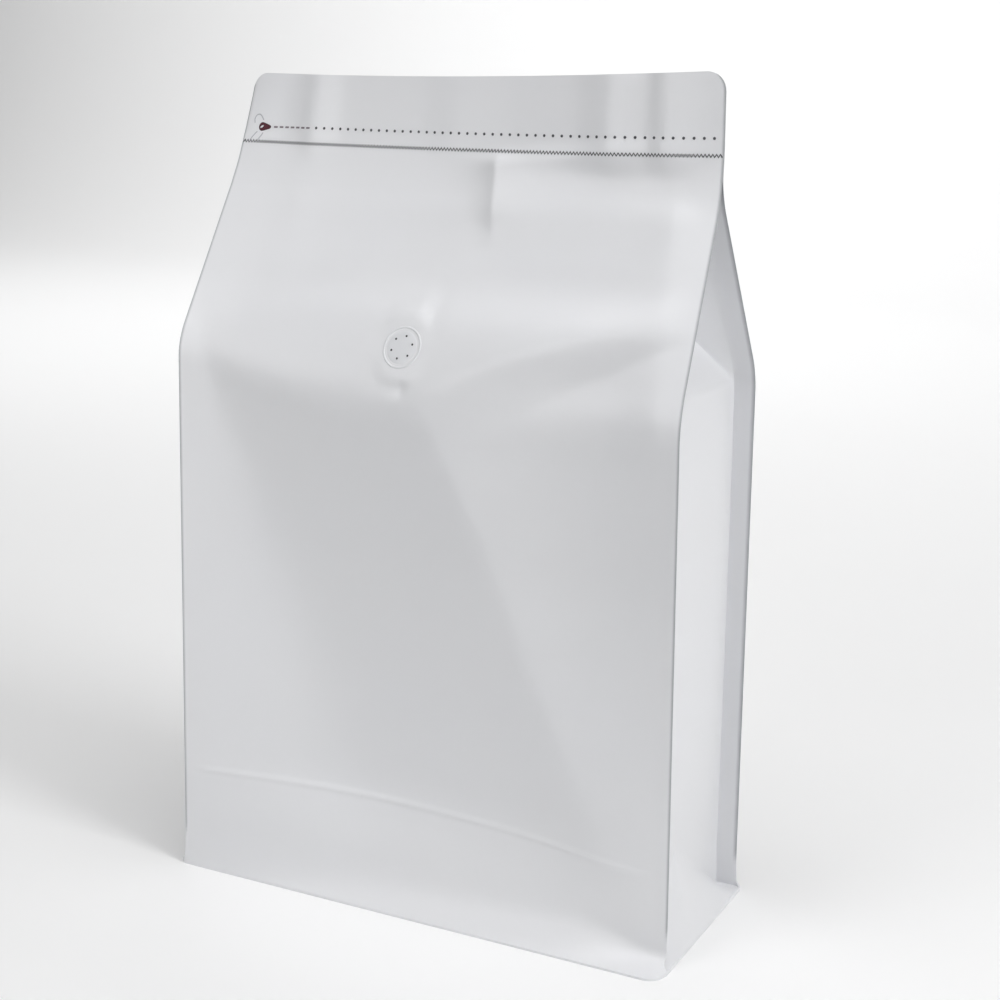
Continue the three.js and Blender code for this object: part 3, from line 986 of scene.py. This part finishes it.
def makeZigzag(material, filmPiece):
    sizes = {**zigzag, "Film": filmPiece, "Material": material}
    tree, graph, size = newTree("zigzagLine", sizes)
    spacing = size["Reach"] * 2 / (size["Corners"] - 1)
    first = vector(graph, 0.0 - size["Reach"], 0.0, size["Height"])
    line = graph.add("GeometryNodeMeshLine", {"mode": "OFFSET"}, {
        "Count": size["Corners"], "Start Location": first, "Offset": vector(graph, spacing, 0.0, 0.0),
    })
    index = graph.add("GeometryNodeInputIndex", {}, {})
    odd = graph.add("ShaderNodeMath", {"operation": "MODULO"}, {0: index, 1: 2.0})
    x = position(graph)[0]
    share = x / size["Reach"]
    shift = (odd - 0.5) * 2 * size["Swing"] + share * share * size["Rise"]
    zigzagged = graph.add("GeometryNodeSetPosition", {}, {
        "Geometry": line, "Offset": vector(graph, 0.0, 0.0, shift),
    })
    curve = graph.add("GeometryNodeMeshToCurve", {}, {"Mesh": zigzagged})
    section = graph.add("GeometryNodeCurvePrimitiveCircle", {}, {"Resolution": 6, "Radius": size["Stroke"]})
    stroke = graph.add("GeometryNodeCurveToMesh", {}, {
        "Curve": curve, "Profile Curve": section, "Fill Caps": True,
    })
    laid = layOnFilm(graph, stroke, size["Film"], size["Lift"], 0.35)
    closeTree(tree, graph, laid, size["Material"])
    return runTree("zigzagLine", tree, sizes)


# The row of round perforations above it, and the short dashes next to the tab

perforations = {
    "First": -78.3 * mm, "Pitch": 4.21 * mm, "Count": 47, "Height": 338.5 * mm,
    "Rise": 0.6 * mm, "Middle": 10 * mm, "Reach": 95 * mm, "Radius": 0.60 * mm, "Lift": 0.02 * mm,
}
tabDashes = {
    "First": -102.2 * mm, "Pitch": 3.2 * mm, "Count": 7, "Height": 338.95 * mm,
    "Rise": 0.0, "Middle": 0.0, "Reach": 95 * mm, "Length": 2.0 * mm, "Width": 0.75 * mm, "Lift": 0.02 * mm,
}


def makeRow(name, row, material, filmPiece):
    # marks in a slightly bowed row: round ones with a Radius, or dashes with a Length
    sizes = {**row, "Film": filmPiece, "Material": material}
    tree, graph, size = newTree(name, sizes)
    first = vector(graph, size["First"], 0.0, size["Height"])
    line = graph.add("GeometryNodeMeshLine", {"mode": "OFFSET"}, {
        "Count": size["Count"], "Start Location": first, "Offset": vector(graph, size["Pitch"], 0.0, 0.0),
    })
    x = position(graph)[0]
    share = (x - size["Middle"]) / size["Reach"]
    bowed = graph.add("GeometryNodeSetPosition", {}, {
        "Geometry": line, "Offset": vector(graph, 0.0, 0.0, share * share * size["Rise"]),
    })
    if "Radius" in row:
        mark = graph.add("GeometryNodeMeshCylinder", {}, {
            "Vertices": 16, "Radius": size["Radius"], "Depth": 0.12 * mm,
        })
        turned = graph.add("GeometryNodeTransform", {}, {
            "Geometry": mark, "Rotation": (math.pi / 2, 0.0, 0.0),
        })
    else:
        turned = graph.add("GeometryNodeMeshCube", {}, {
            "Size": vector(graph, size["Length"], 0.12 * mm, size["Width"]), "Vertices X": 5,
        })
    placed = graph.add("GeometryNodeInstanceOnPoints", {}, {"Points": bowed, "Instance": turned})
    solid = graph.add("GeometryNodeRealizeInstances", {}, {"Geometry": placed})
    laid = layOnFilm(graph, solid, size["Film"], size["Lift"], 1.0)
    closeTree(tree, graph, laid, size["Material"])
    return runTree(name, tree, sizes)


# The valve: a disc pressed against the film, with a grooved rim and six pin holes, whose dark insides are
# painted shade on near-black discs

valveDisc = {
    "segments": 72,
    "profile": [  # radius and height over the film, from the middle outwards
        (0.0, 0.16), (2.5, 0.16), (5.0, 0.15), (6.6, 0.10), (7.3, 0.00), (7.8, -0.14), (8.1, -0.20),
        (8.35, -0.05), (8.6, 0.15), (8.85, 0.22), (9.15, 0.14), (9.5, -0.05), (9.6, -0.25),
    ],
    "under": -0.6,
}
pinHoles = {"Circle": 5.1 * mm, "Turn": 0.32, "Count": 6, "Radius": 0.48 * mm, "Height": 0.15 * mm}


def valveMatrix():
    at, slopeX, slopeZ = valvePlane()
    outward = Vector((slopeX, -1, slopeZ)).normalized()
    upward = (Vector((0, 0, 1)) - outward * outward.z).normalized()
    across = upward.cross(outward)
    turn = Matrix((across, upward, outward)).transposed().to_4x4()
    return Matrix.Translation(Vector((valve["x"], at, valve["z"])) * mm) @ turn


def makeValve(material):
    count = valveDisc["segments"]
    profile = valveDisc["profile"][1:]
    work = bmesh.new()
    rings = []
    for radius, height in [*profile, (profile[-1][0], valveDisc["under"])]:
        rings.append([
            work.verts.new((
                radius * mm * math.cos(i / count * math.tau), radius * mm * math.sin(i / count * math.tau),
                height * mm,
            ))
            for i in range(count)
        ])
    for inner, outer in zip(rings, rings[1:]):
        for i in range(count):
            j = (i + 1) % count
            work.faces.new((inner[i], outer[i], outer[j], inner[j]))
    centres = [
        work.verts.new((0, 0, valveDisc["profile"][0][1] * mm)),
        work.verts.new((0, 0, valveDisc["under"] * mm)),
    ]
    for i in range(count):
        j = (i + 1) % count
        work.faces.new((centres[0], rings[0][i], rings[0][j]))
        work.faces.new((centres[1], rings[-1][j], rings[-1][i]))
    work.transform(valveMatrix())
    mesh = meshFrom(work, "valveDisc")
    shadeSmooth(mesh, 50)
    return makeObject("valveDisc", mesh, material)


# The six pin holes: near-black discs of painted shade laid over the valve disc where the holes show dark
def makePinHoles(material):
    sizes = {**pinHoles, "Material": material}
    tree, graph, size = newTree("pinHoles", sizes)
    ring = graph.add("GeometryNodeMeshCircle", {"fill_type": "NONE"}, {
        "Vertices": size["Count"], "Radius": size["Circle"],
    })
    mark = graph.add("GeometryNodeMeshCylinder", {}, {
        "Vertices": 14, "Radius": size["Radius"], "Depth": 0.08 * mm,
    })
    placed = graph.add("GeometryNodeInstanceOnPoints", {}, {"Points": ring, "Instance": mark})
    solid = graph.add("GeometryNodeRealizeInstances", {}, {"Geometry": placed})
    lifted = graph.add("GeometryNodeTransform", {}, {
        "Geometry": solid, "Translation": vector(graph, 0.0, 0.0, size["Height"]),
        "Rotation": vector(graph, 0.0, 0.0, size["Turn"]),
    })
    closeTree(tree, graph, lifted, size["Material"])
    piece = runTree("pinHoles", tree, sizes)
    piece.data.transform(valveMatrix())
    return piece


# The tear tab: a drop-shaped mark with an open eye, and the fine die-cut lines round it

tearTab = {
    "head": (-109.7, 339.0), "headRadius": 1.95, "tail": (-105.8, 338.9), "tailRadius": 0.85,
    "eye": (-110.0, 339.0), "eyeLong": 1.0, "eyeShort": 0.48, "eyeTurn": 0.5,
    "outline": 0.35, "thickness": 0.05, "points": 40,
    "cuts": [  # paths (x, z) of the die-cut lines
        [(-114.4, 340.6), (-114.8, 342.4), (-113.9, 344), (-112.3, 344.4), (-110.8, 343.4), (-109.6, 341.9)],
        [(-112.2, 336.9), (-113.5, 335.6), (-114.8, 334.0), (-115.3, 333.1)],
        [(-108.9, 336.4), (-109.6, 335.2), (-110.6, 334.0), (-111.2, 333.0)],
    ],
    "cutWidth": 0.6, "cutHeight": 0.05,
    "line": (0.012, 0.009, 0.012), "fill": (0.085, 0.012, 0.022), "roughness": 0.45, "patches": 1200,
}


def dropOutline(inset):
    # the drop's outline: a big circle at its head and a small one at its tail, in one hull
    (hx, hz), (tx, tz) = tearTab["head"], tearTab["tail"]
    points = []
    for i in range(tearTab["points"]):
        angle = i / tearTab["points"] * math.tau
        dx, dz = math.cos(angle), math.sin(angle)
        atHead = hx * dx + hz * dz + tearTab["headRadius"] - inset
        atTail = tx * dx + tz * dz + tearTab["tailRadius"] - inset
        blend = 1 / (1 + math.exp((atHead - atTail) / 0.35))
        radius = mix(tearTab["headRadius"], tearTab["tailRadius"], blend) - inset
        points.append((mix(hx, tx, blend) + dx * radius, mix(hz, tz, blend) + dz * radius))
    return points


def eyeOutline(grow):
    (ex, ez), turn = tearTab["eye"], tearTab["eyeTurn"]
    cos, sin = math.cos(turn), math.sin(turn)
    points = []
    for i in range(tearTab["points"]):
        angle = i / tearTab["points"] * math.tau - turn
        a = (tearTab["eyeLong"] + grow) * math.cos(angle)
        b = (tearTab["eyeShort"] + grow) * math.sin(angle)
        points.append((ex + a * cos - b * sin, ez + a * sin + b * cos))
    return points


def makeTearTab(material):
    line = tearTab["outline"]
    loops = [dropOutline(0), dropOutline(line), eyeOutline(line), eyeOutline(0)]
    return layPlate("tearTabMark", loops, tearTab["thickness"], material)


def smoothPath(path, steps=6):
    # more points along a path, on a curve through the given ones
    points = [Vector((x, z)) for x, z in path]
    ends = [points[0] * 2 - points[1], *points, points[-1] * 2 - points[-2]]
    made = []
    for a, b, c, d in zip(ends, ends[1:], ends[2:], ends[3:]):
        for i in range(steps):
            t = i / steps
            curved = (a * 2 - b * 5 + c * 4 - d) * t ** 2 + (b * 3 - a - c * 3 + d) * t ** 3
            point = (b * 2 + (c - a) * t + curved) / 2
            made.append((point.x, point.y))
    return [*made, tuple(points[-1])]


def makeTabCuts(material):
    work = bmesh.new()
    for path in tearTab["cuts"]:
        layThread(work, smoothPath(path), tearTab["cutWidth"], tearTab["cutHeight"])
    mesh = meshFrom(work, "tearTabCuts")
    mesh.shade_smooth()
    return makeObject("tearTabCuts", mesh, material)


def makeTabMaterial():
    # dark outline, maroon inside
    material, graph, shader = newMaterial("tabPrint")
    patchy = noise(graph, tearTab["patches"], 2)
    inward = graph.add("ShaderNodeAttribute", {"attribute_name": "inward"}, {}, "Fac")
    middle = 1 - graph.add("ShaderNodeMath", {"operation": "ABSOLUTE"}, {0: inward - 0.5}) * 2
    share = graph.add("ShaderNodeMath", {"operation": "MULTIPLY", "use_clamp": True}, {0: middle, 1: 1.5})
    graph.feed(shader.inputs["Base Color"], mixColour(graph, share, tearTab["line"], tearTab["fill"]))
    graph.feed(shader.inputs["Roughness"], tearTab["roughness"] + (patchy - 0.5) * 0.1)
    return material


# Everything is made, then tied to the CAD part

makeCamera()
floor = makeStudio()
floor.data.materials.append(makeFloorMaterial())
print("camera and studio made")

bagFilm = makeFilm(makeFilmMaterial())
valvePiece = makeValve(makeValveMaterial())
pinPiece = makePinHoles(makeInkOrHoleShadeMaterial("pinHole"))
print("valve made")
zigzagPiece = makeZigzag(makeInkOrHoleShadeMaterial("zigzagInk"), bagFilm)
perforationPiece = makeRow("perforationDots", perforations, makeInkOrHoleShadeMaterial("perforationInk"), bagFilm)
dashPiece = makeRow("tabDashes", tabDashes, makeInkOrHoleShadeMaterial("dashInk"), bagFilm)
tabPiece = makeTearTab(makeTabMaterial())
cutPiece = makeTabCuts(makeInkOrHoleShadeMaterial("dieCut"))
print("header marks made")

slots = {
    bagFilm: "film", valvePiece: "valve", pinPiece: "perforation", zigzagPiece: "zigzag_line",
    perforationPiece: "perforation", dashPiece: "tab_print", tabPiece: "tab_print", cutPiece: "film",
}
for piece, slotName in slots.items():
    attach(piece, "root")
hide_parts("bag")
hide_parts("valve")

scene.view_settings.view_transform = "Standard"
